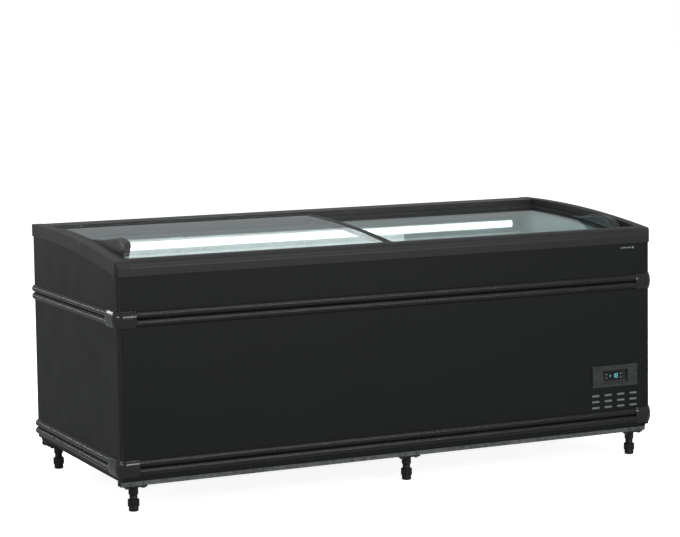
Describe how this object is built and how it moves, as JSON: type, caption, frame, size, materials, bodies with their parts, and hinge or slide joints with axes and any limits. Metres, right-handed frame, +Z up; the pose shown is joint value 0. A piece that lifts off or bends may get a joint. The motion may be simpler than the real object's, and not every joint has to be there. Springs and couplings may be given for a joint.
{
  "type": "chest freezer",
  "caption": "Long supermarket chest freezer with two curved glass lids that slide over each other, bead bumpers, levelling feet and a thermostat panel.",
  "frame": {"origin": "on the floor, under the middle of the overall box", "axes": "+X along the length to the right-hand end as seen from the front, +Y from the front to the back, +Z up"},
  "size_m": [2.024, 0.874, 0.8722],
  "materials": {
    "painted_sheet": "satin powder coat, near black",
    "painted_side": "satin powder coat, near black",
    "rear_sheet": "matt powder coat",
    "grille_plastic": "matt",
    "trim_plastic": "satin",
    "pan_steel": "galvanised",
    "liner_sheet": "white coated sheet",
    "foam": "closed-cell foam",
    "coil_metal": "drawn tube",
    "cover_steel": "galvanised",
    "rail_plastic": "satin extrusion",
    "cap_plastic": "fine satin",
    "breaker_plastic": "satin, pale teal grey",
    "bumper_rubber": "satin",
    "corner_plastic": "half gloss",
    "lamp_metal": "satin anodised",
    "lamp_lens": "lit opal",
    "base_steel": "galvanised",
    "bracket_steel": "satin black",
    "socket_plastic": "matt",
    "bolt_steel": "zinc plated",
    "foot_plastic": "matt",
    "lid_glass": "clear curved safety glass",
    "lid_frame": "satin",
    "seal_plastic": "satin",
    "handle_plastic": "half gloss",
    "compressor_paint": "gloss black",
    "mount_rubber": "matt",
    "fin_metal": "mill finish",
    "shroud_plastic": "matt",
    "motor_steel": "matt",
    "fan_metal": "matt",
    "box_plastic": "matt",
    "pipe_copper": "bright copper tube",
    "bezel_plastic": "fine grain",
    "case_plastic": "gloss",
    "window_plastic": "gloss, tinted",
    "key_plastic": "satin",
    "screw_steel": "zinc plated",
    "pipe_plastic": "matt",
    "gland_plastic": "matt",
    "plate_metal": "satin"
  },
  "bodies": {
    "cabinet": {"front_panel": "painted_sheet", "left_side_panel": "painted_side", "right_side_panel": "painted_side", "rear_panel": "rear_sheet", "rear_grille": "grille_plastic", "corner_trims": "trim_plastic", "base_pan": "pan_steel", "tank_liner": "liner_sheet", "foam_insulation": "foam", "evaporator_coil": "coil_metal", "machine_bay_cover": "cover_steel", "front_top_rail": "rail_plastic", "rear_top_rail": "rail_plastic", "left_end_cap": "cap_plastic", "right_end_cap": "cap_plastic", "breaker_frame": "breaker_plastic", "front_bumpers": "bumper_rubber", "side_bumpers": "bumper_rubber", "bumper_corner_caps": "corner_plastic", "led_housing": "lamp_metal", "led_diffuser": "lamp_lens", "base_rails": "base_steel", "leg_brackets": "bracket_steel", "leg_sockets": "socket_plastic", "leg_bolts": "bolt_steel", "compressor": "compressor_paint", "compressor_mounts": "mount_rubber", "condenser": "fin_metal", "fan_shroud": "shroud_plastic", "fan_motor": "motor_steel", "electrical_box": "box_plastic", "refrigerant_pipes": "pipe_copper", "controller_bezel": "bezel_plastic", "thermostat_case": "case_plastic", "display_window": "window_plastic", "bezel_screws": "screw_steel", "drain_pipe": "pipe_plastic", "cable_gland": "gland_plastic", "name_plate": "plate_metal"},
    "upper_lid": {"upper_lid_glass": "lid_glass", "upper_lid_end_frame": "lid_frame", "upper_lid_seal_bar": "seal_plastic", "upper_lid_runners": "lid_frame", "upper_lid_handle": "handle_plastic"},
    "lower_lid": {"lower_lid_glass": "lid_glass", "lower_lid_end_frame": "lid_frame", "lower_lid_seal_bar": "seal_plastic", "lower_lid_runners": "lid_frame", "lower_lid_handle": "handle_plastic"},
    "fan": {"fan_blades": "fan_metal"},
    "up_key": {"key_up": "key_plastic"},
    "down_key": {"key_down": "key_plastic"},
    "set_key": {"key_set": "key_plastic"},
    "light_key": {"key_light": "key_plastic"},
    "foot_front_left": {"foot_front_left": "foot_plastic"},
    "foot_front_middle": {"foot_front_middle": "foot_plastic"},
    "foot_front_right": {"foot_front_right": "foot_plastic"},
    "foot_rear_left": {"foot_rear_left": "foot_plastic"},
    "foot_rear_middle": {"foot_rear_middle": "foot_plastic"},
    "foot_rear_right": {"foot_rear_right": "foot_plastic"}
  },
  "joints": [
    {"name": "upper_lid_slide", "type": "slide", "parent": "cabinet", "child": "upper_lid", "axis": [1, 0, 0], "range_m": [0, 0.875]},
    {"name": "lower_lid_slide", "type": "slide", "parent": "cabinet", "child": "lower_lid", "axis": [1, 0, 0], "range_m": [-0.875, 0]},
    {"name": "fan_spin", "type": "hinge", "parent": "cabinet", "child": "fan", "pos_m": [0.825, -0.312, 0.183], "axis": [0, 1, 0], "continuous": true},
    {"name": "up_key_press", "type": "slide", "parent": "cabinet", "child": "up_key", "axis": [0, 1, 0], "range_m": [0, 0.001], "stiffness_N_per_m": 1200, "springref_m": -0.0004},
    {"name": "down_key_press", "type": "slide", "parent": "cabinet", "child": "down_key", "axis": [0, 1, 0], "range_m": [0, 0.001], "stiffness_N_per_m": 1200, "springref_m": -0.0004},
    {"name": "set_key_press", "type": "slide", "parent": "cabinet", "child": "set_key", "axis": [0, 1, 0], "range_m": [0, 0.001], "stiffness_N_per_m": 1200, "springref_m": -0.0004},
    {"name": "light_key_press", "type": "slide", "parent": "cabinet", "child": "light_key", "axis": [0, 1, 0], "range_m": [0, 0.001], "stiffness_N_per_m": 1200, "springref_m": -0.0004},
    {"name": "foot_front_left_height", "type": "slide", "parent": "cabinet", "child": "foot_front_left", "axis": [0, 0, 1], "range_m": [-0.014, 0.0015]},
    {"name": "foot_front_middle_height", "type": "slide", "parent": "cabinet", "child": "foot_front_middle", "axis": [0, 0, 1], "range_m": [-0.014, 0.0015]},
    {"name": "foot_front_right_height", "type": "slide", "parent": "cabinet", "child": "foot_front_right", "axis": [0, 0, 1], "range_m": [-0.014, 0.0015]},
    {"name": "foot_rear_left_height", "type": "slide", "parent": "cabinet", "child": "foot_rear_left", "axis": [0, 0, 1], "range_m": [-0.014, 0.0015]},
    {"name": "foot_rear_middle_height", "type": "slide", "parent": "cabinet", "child": "foot_rear_middle", "axis": [0, 0, 1], "range_m": [-0.014, 0.0015]},
    {"name": "foot_rear_right_height", "type": "slide", "parent": "cabinet", "child": "foot_rear_right", "axis": [0, 0, 1], "range_m": [-0.014, 0.0015]}
  ]
}
